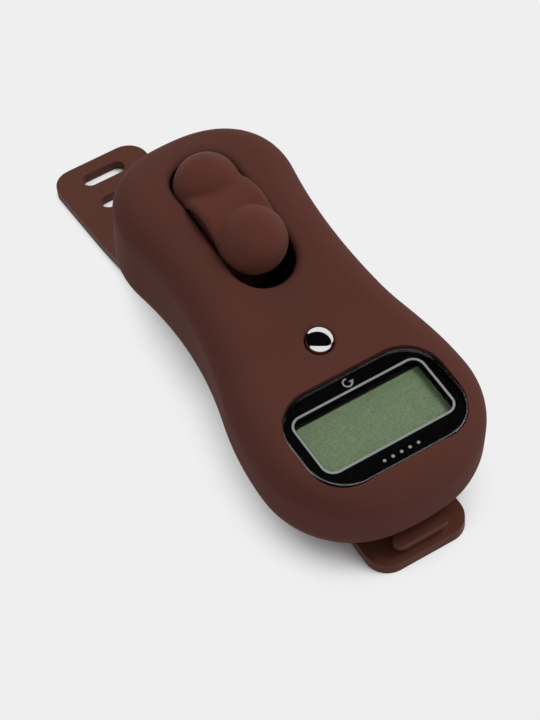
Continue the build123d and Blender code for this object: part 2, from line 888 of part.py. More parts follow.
with BuildPart() as switch_plunger:
    with BuildSketch(body.offset(plunger_top)):
        with Locations((0, switch_u)):
            Circle(plunger_radius)
    extrude(amount=-(plunger_proud + plunger_depth))
switch_plunger.part.label = "switch_plunger"

# Strap: along the belly through the keepers, then down in two bends to lie flat at its slotted end
straight_end_y = -half_span + strap_straight * cos(lean)
straight_end_z = strap_straight * sin(lean)
droop = degrees(acos((1 + cos(lean) - straight_end_z / strap_bend) / 2))
with BuildPart() as strap:
    with BuildSketch(Plane.YZ):
        with BuildLine():
            start = (-half_span - overrun * cos(lean), -overrun * sin(lean))
            run = Line(start, (straight_end_y, straight_end_z))
            crest_bend = JernArc(run @ 1, run % 1, strap_bend, -(rest_tilt + droop))
            foot_bend = JernArc(crest_bend @ 1, crest_bend % 1, strap_bend, droop)
            Line(foot_bend @ 1, (half_span + overrun, 0))
            offset(amount=strap_thick, side=Side.LEFT)
        make_face()
    extrude(amount=strap_width / 2, both=True)
    with BuildSketch(Plane.XY.offset(-strap_span)):
        RectangleRounded(strap_width, strap_span, strap_corner)
        with Locations((0, half_span - slot_margin - slot_pitch * (slot_count - 1) / 2)):
            with GridLocations(0, slot_pitch, 1, slot_count):
                SlotOverall(slot_length, slot_width, mode=Mode.SUBTRACT)
    extrude(amount=2 * strap_span, mode=Mode.INTERSECT)
    stud_u = stud_setback - strap_reach
    with BuildSketch(body.offset(-strap_gap - strap_thick / 2)):
        with Locations((0, stud_u)):
            Rectangle(neck_length, neck_width)
    extrude(amount=strap_thick / 2 + neck_height)
    with BuildSketch(body.offset(-strap_gap + neck_height)):
        with Locations((0, stud_u)):
            SlotOverall(stud_length, stud_width)
    extrude(amount=stud_head)
strap.part.label = "strap"

# Where the moving pieces turn and slide
print("wheel axis through", side.from_local_coords(Vector(axle_u, axle_height, 0)))
print("button axis through", button_top, "along", -button_plane.z_dir)
print("strap droop", droop, "belly rise", body_rise, "housing middle", body_y)

os.makedirs("parts", exist_ok=True)
pieces = [
    top_shell.part,
    bottom_cover.part,
    battery_door.part,
    battery_door_screw.part,
    *case_screws,
    button_cell.part,
    cell_contact_plus.part,
    cell_contact_minus.part,
    bead_tyre.part,
    wheel_hub.part,
    wheel_axle.part,
    count_cam.part,
    count_leaf.part,
    count_contact.part,
    main_board.part,
    chip_blob.part,
    *board_screws,
    lcd_cell.part,
    lcd_frame.part,
    zebra_strip.part,
    lcd_pad.part,
    display_lens.part,
    lens_mask.part,
    reset_button.part,
    reset_switch.part,
    switch_plunger.part,
    strap.part,
]
for piece in pieces:
    export_step(piece, f"parts/{piece.label}.step")
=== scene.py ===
import bpy
from math import asin, cos, pi, radians, sin, tau
from mathutils import Matrix, Vector


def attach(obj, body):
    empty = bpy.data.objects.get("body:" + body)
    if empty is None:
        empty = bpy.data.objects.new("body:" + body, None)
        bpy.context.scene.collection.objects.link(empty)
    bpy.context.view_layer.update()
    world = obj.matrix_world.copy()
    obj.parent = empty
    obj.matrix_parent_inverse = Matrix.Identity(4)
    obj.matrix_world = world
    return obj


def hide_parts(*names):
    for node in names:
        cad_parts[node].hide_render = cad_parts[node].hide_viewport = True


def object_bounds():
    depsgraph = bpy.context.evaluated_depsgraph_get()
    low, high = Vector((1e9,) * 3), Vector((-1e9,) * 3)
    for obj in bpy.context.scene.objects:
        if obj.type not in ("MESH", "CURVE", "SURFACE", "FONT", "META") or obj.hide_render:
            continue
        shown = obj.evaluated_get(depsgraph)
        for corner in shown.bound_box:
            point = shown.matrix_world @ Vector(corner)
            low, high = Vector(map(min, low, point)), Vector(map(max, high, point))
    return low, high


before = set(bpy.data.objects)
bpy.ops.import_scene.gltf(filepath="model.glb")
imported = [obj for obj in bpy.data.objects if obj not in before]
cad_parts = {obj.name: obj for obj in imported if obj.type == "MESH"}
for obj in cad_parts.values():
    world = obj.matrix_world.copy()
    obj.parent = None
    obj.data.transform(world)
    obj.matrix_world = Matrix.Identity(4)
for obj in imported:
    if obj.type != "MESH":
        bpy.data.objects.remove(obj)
cad_low, cad_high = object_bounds()
mm = 0.001


# The table: a sheet of pale paper in an even pale room, which looks the same all over. Only close
# to the counter, where little of the room reaches it, does the paper take its own shading.
def bare_material(name):
    """A new material with nothing in it, its nodes and its links."""
    material = bpy.data.materials.new(name)
    material.use_nodes = True
    material.node_tree.nodes.clear()
    return material, material.node_tree.nodes, material.node_tree.links


def seen_by_eye(nodes, links):
    """One for rays from the camera, a mirror or a glass, and nothing for the rays that carry light."""
    path = nodes.new("ShaderNodeLightPath")
    mirrored = nodes.new("ShaderNodeMath")
    mirrored.operation = "MAXIMUM"
    looked_at = nodes.new("ShaderNodeMath")
    looked_at.operation = "MAXIMUM"
    links.new(path.outputs["Is Glossy Ray"], mirrored.inputs[0])
    links.new(path.outputs["Is Transmission Ray"], mirrored.inputs[1])
    links.new(path.outputs["Is Camera Ray"], looked_at.inputs[0])
    links.new(mirrored.outputs["Value"], looked_at.inputs[1])
    return looked_at.outputs["Value"]


bpy.context.scene.view_settings.view_transform = "Standard"
table_span = 6.0
table_colour = (0.863, 0.863, 0.863, 1.0)
contact_reach = 16 * mm
contact_dark = 0.34
contact_clear = 0.66
bpy.ops.object.select_all(action="DESELECT")
bpy.ops.mesh.primitive_plane_add(size=table_span, location=(0, 0, cad_low.z))
table = bpy.context.active_object
table.name = "table"
paper, nodes, links = bare_material("pale_paper")
paper_shader = nodes.new("ShaderNodeBsdfPrincipled")
paper_shader.inputs["Base Color"].default_value = table_colour
paper_shader.inputs["Roughness"].default_value = 0.9
paper_shader.inputs["Specular IOR Level"].default_value = 0.0
paper_glow = nodes.new("ShaderNodeEmission")
paper_glow.inputs["Color"].default_value = table_colour
contact = nodes.new("ShaderNodeAmbientOcclusion")
contact.inputs["Distance"].default_value = contact_reach
open_paper = nodes.new("ShaderNodeMapRange")
open_paper.inputs["From Min"].default_value = contact_dark
open_paper.inputs["From Max"].default_value = contact_clear
paper_share = nodes.new("ShaderNodeMath")
paper_share.operation = "MULTIPLY"
paper_mix = nodes.new("ShaderNodeMixShader")
paper_out = nodes.new("ShaderNodeOutputMaterial")
links.new(contact.outputs["AO"], open_paper.inputs["Value"])
links.new(seen_by_eye(nodes, links), paper_share.inputs[0])
links.new(open_paper.outputs["Result"], paper_share.inputs[1])
links.new(paper_share.outputs["Value"], paper_mix.inputs["Fac"])
links.new(paper_shader.outputs["BSDF"], paper_mix.inputs[1])
links.new(paper_glow.outputs["Emission"], paper_mix.inputs[2])
links.new(paper_mix.outputs["Shader"], paper_out.inputs["Surface"])
table.data.materials.append(paper)

# The lights: the pale room itself, a soft panel from the right and a weaker one from the far side,
# both kept out of mirrors and glass. An oval black flag overhead gives the chrome and the lens
# their dark reflection.
room_light = 0.52
room_seen = 0.863
white = (1, 1, 1, 1)
world = bpy.context.scene.world or bpy.data.worlds.new("room")
bpy.context.scene.world = world
world.use_nodes = True
world.node_tree.nodes.clear()
nodes, links = world.node_tree.nodes, world.node_tree.links
lit = nodes.new("ShaderNodeBackground")
lit.inputs["Color"].default_value = white
lit.inputs["Strength"].default_value = room_light
seen = nodes.new("ShaderNodeBackground")
seen.inputs["Color"].default_value = white
seen.inputs["Strength"].default_value = room_seen
choose = nodes.new("ShaderNodeMixShader")
world_out = nodes.new("ShaderNodeOutputWorld")
links.new(seen_by_eye(nodes, links), choose.inputs["Fac"])
links.new(lit.outputs["Background"], choose.inputs[1])
links.new(seen.outputs["Background"], choose.inputs[2])
links.new(choose.outputs["Shader"], world_out.inputs["Surface"])

counter_middle = Vector((0, -12 * mm, 14 * mm))
panel_span = 1.0


def panel(name, place, power):
    """A square lamp panel that faces the counter."""
    bpy.ops.object.light_add(type="AREA", location=place)
    lamp = bpy.context.active_object
    lamp.name = name
    lamp.data.shape = "SQUARE"
    lamp.data.size = panel_span
    lamp.data.energy = power
    lamp.rotation_euler = (counter_middle - Vector(place)).to_track_quat("-Z", "Y").to_euler()
    lamp.visible_glossy = False
    lamp.visible_transmission = False


panel("key_panel", place=(1.2, -0.4, 1.9), power=28.0)
panel("far_panel", place=(-0.1, 1.6, 1.3), power=7.0)

flag_spans = (3.0, 1.36)
flag_place = (0.33, 0.07, 1.0)
flag_turn = radians(-32)
bpy.ops.object.select_all(action="DESELECT")
bpy.ops.mesh.primitive_circle_add(
    vertices=96, radius=0.5, fill_type="NGON", location=flag_place, rotation=(pi, 0, flag_turn)
)
flag = bpy.context.active_object
flag.name = "black_flag"
flag.scale = (*flag_spans, 1)
bpy.ops.object.transform_apply(location=True, rotation=True, scale=True)
flag.visible_camera = False
flag.visible_diffuse = False
flag.visible_shadow = False
flag_cloth, nodes, links = bare_material("flag_cloth")
flag_shader = nodes.new("ShaderNodeBsdfPrincipled")
flag_shader.inputs["Base Color"].default_value = (0.004, 0.004, 0.004, 1.0)
flag_shader.inputs["Roughness"].default_value = 1.0
flag_shader.inputs["Specular IOR Level"].default_value = 0.0
flag_out = nodes.new("ShaderNodeOutputMaterial")
links.new(flag_shader.outputs["BSDF"], flag_out.inputs["Surface"])
flag.data.materials.append(flag_cloth)

# The camera: a long lens that looks down at the counter from its near left, rolled slightly. The
# display's end is the nearer one.
view_azimuth = radians(-28.10)
view_elevation = radians(48.75)
view_roll = radians(-5.54)
view_aim = Vector((-5.97, -18.63, 18.0)) * mm
view_distance = 410.63 * mm
view_lens = 126.39
back = Vector(
    (
        sin(view_azimuth) * cos(view_elevation),
        -cos(view_azimuth) * cos(view_elevation),
        sin(view_elevation),
    )
)
turn = back.to_track_quat("Z", "Y") @ Matrix.Rotation(view_roll, 3, "Z").to_quaternion()
bpy.ops.object.camera_add(location=view_aim + back * view_distance, rotation=turn.to_euler())
camera = bpy.context.active_object
camera.data.lens = view_lens
camera.data.clip_start = 10 * mm
bpy.context.scene.camera = camera


# The cover: a shallow moulding with a soft-touch coat, the wheel's posts and the strap's keepers on
# it. It closes the shell from below, and leans back with the whole housing, which lies on its strap.
def grain_group():
    """Fine grain and slow mottle, read from the piece's own place."""
    group = bpy.data.node_groups.new("coat_grain", "ShaderNodeTree")
    for name, value in (("Grain Scale", 5000.0), ("Mottle Scale", 70.0)):
        socket = group.interface.new_socket(name, in_out="INPUT", socket_type="NodeSocketFloat")
        socket.default_value = value
    for name in ("Grain", "Mottle"):
        group.interface.new_socket(name, in_out="OUTPUT", socket_type="NodeSocketFloat")
    nodes, links = group.nodes, group.links
    given = nodes.new("NodeGroupInput")
    made = nodes.new("NodeGroupOutput")
    place = nodes.new("ShaderNodeTexCoord")
    for name, detail in (("Grain", 3.0), ("Mottle", 4.0)):
        noise = nodes.new("ShaderNodeTexNoise")
        noise.inputs["Detail"].default_value = detail
        links.new(place.outputs["Object"], noise.inputs["Vector"])
        links.new(given.outputs[name + " Scale"], noise.inputs["Scale"])
        links.new(noise.outputs["Fac"], made.inputs[name])
    return group


coat_grain = grain_group()


def matte_coat(name, colour, pale, roughness, specular, sheen, grain_scale, grain_depth):
    """A matte moulded finish: its colour and gloss drift slightly, and a fine grain roughens it."""
    gloss_drift = 0.05
    material, nodes, links = bare_material(name)
    shader = nodes.new("ShaderNodeBsdfPrincipled")
    shader.inputs["Specular IOR Level"].default_value = specular
    shader.inputs["Sheen Weight"].default_value = sheen
    shader.inputs["Sheen Roughness"].default_value = 0.35
    grain = nodes.new("ShaderNodeGroup")
    grain.node_tree = coat_grain
    grain.inputs["Grain Scale"].default_value = grain_scale
    drift = nodes.new("ShaderNodeMix")
    drift.data_type = "RGBA"
    drift.inputs["A"].default_value = (*colour, 1.0)
    drift.inputs["B"].default_value = (*pale, 1.0)
    gloss = nodes.new("ShaderNodeMapRange")
    gloss.inputs["To Min"].default_value = roughness - gloss_drift
    gloss.inputs["To Max"].default_value = roughness + gloss_drift
    bump = nodes.new("ShaderNodeBump")
    bump.inputs["Strength"].default_value = 0.3
    bump.inputs["Distance"].default_value = grain_depth
    out = nodes.new("ShaderNodeOutputMaterial")
    links.new(grain.outputs["Mottle"], drift.inputs["Factor"])
    links.new(drift.outputs["Result"], shader.inputs["Base Color"])
    links.new(grain.outputs["Mottle"], gloss.inputs["Value"])
    links.new(gloss.outputs["Result"], shader.inputs["Roughness"])
    links.new(grain.outputs["Grain"], bump.inputs["Height"])
    links.new(bump.outputs["Normal"], shader.inputs["Normal"])
    links.new(shader.outputs["BSDF"], out.inputs["Surface"])
    return material


def choose_alone(piece):
    """Makes a piece the only selected one, and the active one."""
    bpy.ops.object.select_all(action="DESELECT")
    piece.select_set(True)
    bpy.context.view_layer.objects.active = piece


def dress(piece, name, material, body, sharp_angle):
    """Names a finished piece, smooths it, gives it its material and lets it ride on a body."""
    choose_alone(piece)
    piece.name = name
    piece.data.name = name
    bpy.ops.object.shade_smooth_by_angle(angle=radians(sharp_angle))
    piece.data.materials.clear()
    piece.data.materials.append(material)
    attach(piece, body)


weld_gap = 0.001 * mm


def merged_copy(node):
    """A copy of a solid with its loose triangles joined."""
    piece = bpy.data.objects.new(node + "_copy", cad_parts[node].data.copy())
    bpy.context.collection.objects.link(piece)
    choose_alone(piece)
    bpy.ops.object.mode_set(mode="EDIT")
    bpy.ops.mesh.select_all(action="SELECT")
    bpy.ops.mesh.remove_doubles(threshold=weld_gap)
    bpy.ops.object.mode_set(mode="OBJECT")
    return piece


def flat_faces_lead(piece):
    """Lets the large flat faces set the shading beside the rounds."""
    choose_alone(piece)
    bpy.ops.object.modifier_add(type="WEIGHTED_NORMAL")
    piece.modifiers[-1].keep_sharp = True
    bpy.ops.object.modifier_apply(modifier=piece.modifiers[-1].name)


soft_coat = matte_coat(
    "soft_coat",
    colour=(0.086, 0.0303, 0.0236),
    pale=(0.092, 0.0328, 0.0257),
    roughness=0.65,
    specular=0.03,
    sheen=0.01,
    grain_scale=6000.0,
    grain_depth=0.02 * mm,
)
cover = merged_copy("bottom_cover")
dress(cover, "shell_cover", soft_coat, "housing", sharp_angle=32)
flat_faces_lead(cover)
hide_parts("bottom_cover")

lean = radians(7.2)
belly_middle = Vector((0, -13.47975, 8.004317)) * mm
housing_place = Matrix.Translation(belly_middle) @ Matrix.Rotation(lean, 4, "X")

# The cell door: a disc with an ear, moulded and coated as the cover is. It closes the cell's well
# flush with the belly, and one screw through its ear holds it.
door = merged_copy("battery_door")
dress(door, "cell_door", soft_coat, "housing", sharp_angle=32)
flat_faces_lead(door)
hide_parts("battery_door")

# The screws that show from below: four in the cover's counterbores and one in the door's ear. Each
# is plated steel, turned with a rounded head, with a pressed cross in it for the driver.
# The middle of a small round lies this share of its radius in from the corner.
round_middle = 0.3


def turned(outline, steps):
    """A round piece spun about its own upright axis from pairs of radius and height."""
    bpy.ops.object.select_all(action="DESELECT")
    bpy.ops.mesh.primitive_plane_add(size=mm)
    piece = bpy.context.active_object
    bpy.ops.object.mode_set(mode="EDIT")
    bpy.ops.mesh.select_mode(type="VERT")
    bpy.ops.mesh.select_all(action="SELECT")
    bpy.ops.mesh.merge(type="CENTER")
    radius, height = outline[0]
    bpy.ops.transform.translate(value=(radius, 0, height))
    for next_radius, next_height in outline[1:]:
        step = (next_radius - radius, 0, next_height - height)
        bpy.ops.mesh.extrude_region_move(TRANSFORM_OT_translate={"value": step})
        radius, height = next_radius, next_height
    bpy.ops.mesh.select_all(action="SELECT")
    bpy.ops.mesh.spin(steps=steps, angle=tau, center=(0, 0, 0), axis=(0, 0, 1))
    bpy.ops.mesh.select_all(action="SELECT")
    bpy.ops.mesh.remove_doubles(threshold=weld_gap)
    bpy.ops.mesh.normals_make_consistent(inside=False)
    bpy.ops.object.mode_set(mode="OBJECT")
    return piece


def combine(piece, other, operation):
    """Joins another shape to a piece, or cuts it out of it, and takes that other shape away."""
    choose_alone(piece)
    bpy.ops.object.modifier_add(type="BOOLEAN")
    boolean = piece.modifiers[-1]
    boolean.operation = operation
    boolean.solver = "EXACT"
    boolean.object = other
    bpy.ops.object.modifier_apply(modifier=boolean.name)
    choose_alone(other)
    bpy.ops.object.delete()
    choose_alone(piece)
    bpy.ops.object.mode_set(mode="EDIT")
    bpy.ops.mesh.select_all(action="SELECT")
    bpy.ops.mesh.remove_doubles(threshold=2 * weld_gap)
    bpy.ops.mesh.dissolve_degenerate(threshold=weld_gap)
    bpy.ops.object.mode_set(mode="OBJECT")


def settle(piece, place):
    """Sets a piece down at its place, and leaves that place in its mesh."""
    choose_alone(piece)
    piece.matrix_world = place
    bpy.ops.object.transform_apply(location=True, rotation=True, scale=True)


def cross_screw(head_radius, head_height, shank_radius, shank_length):
    """A screw whose head looks down, with a cross pressed into it, one arm slightly shallower."""
    head_round = 0.3 * head_height
    tip_taper = 0.6 * shank_radius
    top = head_height + shank_length
    screw = turned(
        [
            (0, 0),
            (head_radius - head_round, 0),
            (head_radius - round_middle * head_round, round_middle * head_round),
            (head_radius, head_round),
            (head_radius, head_height),
            (shank_radius, head_height),
            (shank_radius, top - tip_taper),
            (shank_radius - tip_taper, top),
            (0, top),
        ],
        steps=40,
    )
    arm_length = 1.25 * head_radius
    arm_width = 0.3 * head_radius
    deep_arm = head_height
    shallow_arm = 0.95 * head_height
    for arm_spans in ((arm_length, arm_width, deep_arm), (arm_width, arm_length, shallow_arm)):
        bpy.ops.object.select_all(action="DESELECT")
        bpy.ops.mesh.primitive_cube_add(size=1)
        arm = bpy.context.active_object
        arm.scale = arm_spans
        bpy.ops.object.transform_apply(location=True, rotation=True, scale=True)
        combine(screw, arm, "DIFFERENCE")
    return screw


def plain_finish(name, colour, roughness, metallic, specular, wear):
    """A smooth finish whose colour and gloss vary slightly over the piece."""
    material, nodes, links = bare_material(name)
    shader = nodes.new("ShaderNodeBsdfPrincipled")
    shader.inputs["Metallic"].default_value = metallic
    shader.inputs["Specular IOR Level"].default_value = specular
    grain = nodes.new("ShaderNodeGroup")
    grain.node_tree = coat_grain
    drift = nodes.new("ShaderNodeMix")
    drift.data_type = "RGBA"
    drift.inputs["A"].default_value = (*colour, 1.0)
    drift.inputs["B"].default_value = (*[channel * (1 - wear) for channel in colour], 1.0)
    gloss = nodes.new("ShaderNodeMapRange")
    gloss.inputs["To Min"].default_value = roughness * (1 - wear)
    gloss.inputs["To Max"].default_value = roughness * (1 + wear)
    out = nodes.new("ShaderNodeOutputMaterial")
    links.new(grain.outputs["Mottle"], drift.inputs["Factor"])
    links.new(drift.outputs["Result"], shader.inputs["Base Color"])
    links.new(grain.outputs["Grain"], gloss.inputs["Value"])
    links.new(gloss.outputs["Result"], shader.inputs["Roughness"])
    links.new(shader.outputs["BSDF"], out.inputs["Surface"])
    return material


screw_steel = plain_finish(
    "screw_steel", (0.55, 0.55, 0.56), roughness=0.28, metallic=1.0, specular=0.5, wear=0.2
)
case_screw_level = 1.08
case_screw_places = [(13.6, -12.5), (-13.6, -12.5), (8.8, 32.336), (-8.8, 32.336)]
for number, (across, along) in enumerate(case_screw_places, 1):
    screw = cross_screw(
        head_radius=1.8 * mm, head_height=1.2 * mm, shank_radius=1.0 * mm, shank_length=7.0 * mm
    )
    screw_place = Vector((across, along, case_screw_level)) * mm
    settle(screw, housing_place @ Matrix.Translation(screw_place))
    dress(screw, f"cover_screw_{number}", screw_steel, "housing", sharp_angle=35)
    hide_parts(f"case_screw_{number}")

door_screw_place = Vector((10.0, -24.5, 0)) * mm
door_screw = cross_screw(
    head_radius=1.7 * mm, head_height=0.58 * mm, shank_radius=0.9 * mm, shank_length=2.6 * mm
)
settle(door_screw, housing_place @ Matrix.Translation(door_screw_place))
dress(door_screw, "door_screw", screw_steel, "housing", sharp_angle=35)
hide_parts("battery_door_screw")

# The works inside: cell, contacts, board, chip, switch, the display's strip and pad, and the wheel's
# own parts. They keep their solids' shapes, which the shells hide, and get the finishes of their
# real materials.
bright_steel = plain_finish(
    "bright_steel", (0.62, 0.62, 0.63), roughness=0.22, metallic=1.0, specular=0.5, wear=0.15
)
spring_brass = plain_finish(
    "spring_brass", (0.72, 0.55, 0.27), roughness=0.25, metallic=1.0, specular=0.5, wear=0.15
)
board_green = plain_finish(
    "board_green", (0.010, 0.085, 0.030), roughness=0.35, metallic=0.0, specular=0.5, wear=0.3
)
chip_resin = plain_finish(
    "chip_resin", (0.006, 0.006, 0.007), roughness=0.25, metallic=0.0, specular=0.5, wear=0.3
)
dark_moulding = plain_finish(
    "dark_moulding", (0.012, 0.009, 0.008), roughness=0.5, metallic=0.0, specular=0.4, wear=0.2
)
brown_moulding = plain_finish(
    "brown_moulding", (0.070, 0.022, 0.016), roughness=0.5, metallic=0.0, specular=0.2, wear=0.1
)
strip_rubber = plain_finish(
    "strip_rubber", (0.48, 0.36, 0.32), roughness=0.6, metallic=0.0, specular=0.3, wear=0.2
)
inner_finishes = {
    "button_cell": bright_steel,
    "cell_contact_plus": spring_brass,
    "cell_contact_minus": spring_brass,
    "main_board": board_green,
    "chip_blob": chip_resin,
    "board_screw_1": screw_steel,
    "board_screw_2": screw_steel,
    "reset_switch": dark_moulding,
    "switch_plunger": dark_moulding,
    "zebra_strip": strip_rubber,
    "lcd_pad": strip_rubber,
    "wheel_hub": brown_moulding,
    "wheel_axle": bright_steel,
    "count_cam": dark_moulding,
    "count_leaf": spring_brass,
    "count_contact": spring_brass,
}
for node, finish in inner_finishes.items():
    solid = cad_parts[node]
    solid.data.materials.clear()
    solid.data.materials.append(finish)


# The shell: the deep upper moulding with the same soft-touch coat, which rounds its rims a little.
# The wheel's slot goes through its crest, and the lens's pocket and the button's hole are cut last.
def soften(piece, grain, rubs):
    """Gives a piece an even skin and rubs its creases and edges round."""
    choose_alone(piece)
    bpy.ops.object.modifier_add(type="REMESH")
    piece.modifiers[-1].mode = "VOXEL"
    piece.modifiers[-1].voxel_size = grain
    bpy.ops.object.modifier_apply(modifier=piece.modifiers[-1].name)
    bpy.ops.object.modifier_add(type="SMOOTH")
    piece.modifiers[-1].factor = 0.5
    piece.modifiers[-1].iterations = rubs
    bpy.ops.object.modifier_apply(modifier=piece.modifiers[-1].name)


def rounded_plate(width, height, thick, corner):
    """A flat plate with round corners, standing on its own middle."""
    bpy.ops.object.select_all(action="DESELECT")
    bpy.ops.mesh.primitive_plane_add(size=1)
    plate = bpy.context.active_object
    bpy.ops.object.mode_set(mode="EDIT")
    bpy.ops.mesh.select_all(action="SELECT")
    bpy.ops.transform.resize(value=(width, height, 1))
    bpy.ops.mesh.bevel(offset=corner, segments=32, affect="VERTICES")
    bpy.ops.mesh.select_all(action="SELECT")
    bpy.ops.mesh.extrude_region_move(TRANSFORM_OT_translate={"value": (0, 0, thick)})
    bpy.ops.mesh.select_all(action="SELECT")
    bpy.ops.mesh.normals_make_consistent(inside=False)
    bpy.ops.object.mode_set(mode="OBJECT")
    return plate


def choose_nothing(kind):
    """Clears the choice inside the active piece, so that faces or points can be chosen by place."""
    bpy.ops.object.mode_set(mode="EDIT")
    bpy.ops.mesh.select_mode(type=kind)
    bpy.ops.mesh.select_all(action="DESELECT")
    bpy.ops.object.mode_set(mode="OBJECT")


# First the lens's pocket is taken out of the copy and closed, so that the skin runs over it.
display_middle = -25.3
lens_place = housing_place @ Matrix.Translation(Vector((0, display_middle, 0)) * mm)
into_lens = lens_place.inverted()
lens_spans = (29.0 * mm, 18.8 * mm)
lens_corner = 7.0 * mm
pocket_gap = 0.15 * mm
seat_level = 15.26 * mm
seat_slack = 0.05 * mm
level_facing = 0.99
upright_facing = 0.1
shell = merged_copy("top_shell")
choose_nothing("FACE")
for face in shell.data.polygons:
    spot = into_lens @ face.center
    facing = into_lens.to_3x3() @ face.normal
    in_width = abs(spot.x) < lens_spans[0] / 2 + pocket_gap
    in_height = abs(spot.y) < lens_spans[1] / 2 + pocket_gap
    on_seat = facing.z > level_facing and abs(spot.z - seat_level) < seat_slack
    looks_in = facing.x * spot.x + facing.y * spot.y < 0
    on_wall = abs(facing.z) < upright_facing and looks_in and spot.z > seat_level
    face.select = in_width and in_height and (on_seat or on_wall)
bpy.ops.object.mode_set(mode="EDIT")
bpy.ops.mesh.delete(type="FACE")
bpy.ops.mesh.select_all(action="SELECT")
bpy.ops.mesh.fill_holes(sides=0)
bpy.ops.object.mode_set(mode="OBJECT")

# Then the skin is made even, and rubbed smoother in a band round the lens.
shell_grain = 0.4 * mm
shell_rubs = 4
rim_reach = 1.5 * mm
rim_rubs = 24
soften(shell, shell_grain, shell_rubs)
choose_nothing("VERT")
for vertex in shell.data.vertices:
    spot = into_lens @ vertex.co
    past_width = max(abs(spot.x) - lens_spans[0] / 2 + lens_corner, 0)
    past_height = max(abs(spot.y) - lens_spans[1] / 2 + lens_corner, 0)
    in_reach = Vector((past_width, past_height)).length < lens_corner + rim_reach
    vertex.select = in_reach and spot.z > seat_level + pocket_gap
bpy.ops.object.mode_set(mode="EDIT")
bpy.ops.mesh.vertices_smooth(factor=0.5, repeat=rim_rubs)
bpy.ops.object.mode_set(mode="OBJECT")

# Last the pocket, the opening under it and the button's hole are cut, and stray slivers removed.
pocket_high = 4 * mm
seat_ledge = 1.6 * mm
opening_floor = seat_level - 2 * mm
opening_high = 3 * mm
pocket_cut = (pocket_gap, seat_level, pocket_high)
opening_cut = (-seat_ledge, opening_floor, opening_high)
for spread, floor, high in (pocket_cut, opening_cut):
    cutter = rounded_plate(
        lens_spans[0] + 2 * spread, lens_spans[1] + 2 * spread, high, lens_corner + spread
    )
    settle(cutter, lens_place @ Matrix.Translation((0, 0, floor)))
    combine(shell, cutter, "DIFFERENCE")
button_mouth = Vector((0, -24.7357, 24.4976)) * mm
button_slope = radians(9.716)
button_place = Matrix.Translation(button_mouth) @ Matrix.Rotation(lean + button_slope, 4, "X")
button_hole = 2.4 * mm
drill_low = -2.4 * mm
drill_high = 3 * mm
drill_outline = [(0, drill_low), (button_hole, drill_low), (button_hole, drill_high), (0, drill_high)]
drill = turned(drill_outline, steps=96)
settle(drill, button_place)
combine(shell, drill, "DIFFERENCE")
bpy.ops.object.mode_set(mode="EDIT")
bpy.ops.mesh.select_all(action="SELECT")
bpy.ops.mesh.quads_convert_to_tris(quad_method="BEAUTY", ngon_method="BEAUTY")
bpy.ops.mesh.select_mode(type="EDGE")
bpy.ops.mesh.select_all(action="DESELECT")
bpy.ops.mesh.select_non_manifold(use_multi_face=False, use_non_contiguous=False, use_verts=False)
bpy.ops.mesh.delete(type="EDGE")
bpy.ops.object.mode_set(mode="OBJECT")
dress(shell, "shell_top", soft_coat, "housing", sharp_angle=50)
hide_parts("top_shell")

# The wheel's tyre: one silicone moulding, three round beads on a drum, with soft roots where they
# meet it. It is pressed on the hub, and the thumb rolls it in the slot.
drum_radius = 7.7 * mm
drum_shoulder = 1.0 * mm
shoulder_steps = 8
bead_radius = 5.7 * mm
bead_circle = 8.3 * mm
bead_count = 3
tyre_width = 11.1 * mm
bore_radius = 6.22 * mm
wheel_phase = 4.5
side_radius = drum_radius - drum_shoulder
shoulder_middle = tyre_width / 2 - drum_shoulder
shoulder = []
for step in range(shoulder_steps + 1):
    angle = pi / 2 * step / shoulder_steps
    radius = side_radius + drum_shoulder * sin(angle)
    shoulder.append((radius, shoulder_middle + drum_shoulder * cos(angle)))
tyre = turned(
    [
        (0, -tyre_width),
        (side_radius, -tyre_width),
        *[(radius, -along) for radius, along in shoulder],
        *reversed(shoulder),
        (side_radius, tyre_width),
        (0, tyre_width),
    ],
    steps=128,
)
settle(tyre, Matrix.Rotation(pi / 2, 4, "Y"))
for number in range(bead_count):
    bead_turn = radians(wheel_phase + 360 * (number + 0.5) / bead_count)
    bead_place = (0, bead_circle * sin(bead_turn), bead_circle * cos(bead_turn))
    bpy.ops.object.select_all(action="DESELECT")
    bpy.ops.mesh.primitive_uv_sphere_add(
        segments=64, ring_count=32, radius=bead_radius, location=bead_place
    )
    bead = bpy.context.active_object
    bpy.ops.object.transform_apply(location=True, rotation=True, scale=True)
    combine(tyre, bead, "UNION")

root_grain = 0.2 * mm
root_rubs = 16
soften(tyre, root_grain, root_rubs)
for side in (1, -1):
    bpy.ops.object.mode_set(mode="EDIT")
    bpy.ops.mesh.select_all(action="SELECT")
    bpy.ops.mesh.bisect(
        plane_co=(side * tyre_width / 2, 0, 0), plane_no=(side, 0, 0), use_fill=True, clear_outer=True
    )
    bpy.ops.object.mode_set(mode="OBJECT")
bpy.ops.object.select_all(action="DESELECT")
bpy.ops.mesh.primitive_cylinder_add(
    vertices=96, radius=bore_radius, depth=2 * tyre_width, rotation=(0, pi / 2, 0)
)
bore = bpy.context.active_object
bpy.ops.object.transform_apply(location=True, rotation=True, scale=True)
combine(tyre, bore, "DIFFERENCE")
skin_grain = 0.8 * root_grain
skin_rubs = 3
soften(tyre, skin_grain, skin_rubs)
axle_middle = Vector((0, 1.58815, 27.8493)) * mm
settle(tyre, Matrix.Translation(axle_middle) @ Matrix.Rotation(lean, 4, "X"))
bead_coat = matte_coat(
    "bead_silicone",
    colour=(0.097, 0.0305, 0.0215),
    pale=(0.104, 0.0330, 0.0235),
    roughness=0.6,
    specular=0.08,
    sheen=0.04,
    grain_scale=7000.0,
    grain_depth=0.015 * mm,
)
dress(tyre, "tyre_beads", bead_coat, "wheel", sharp_angle=180)
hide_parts("bead_tyre")

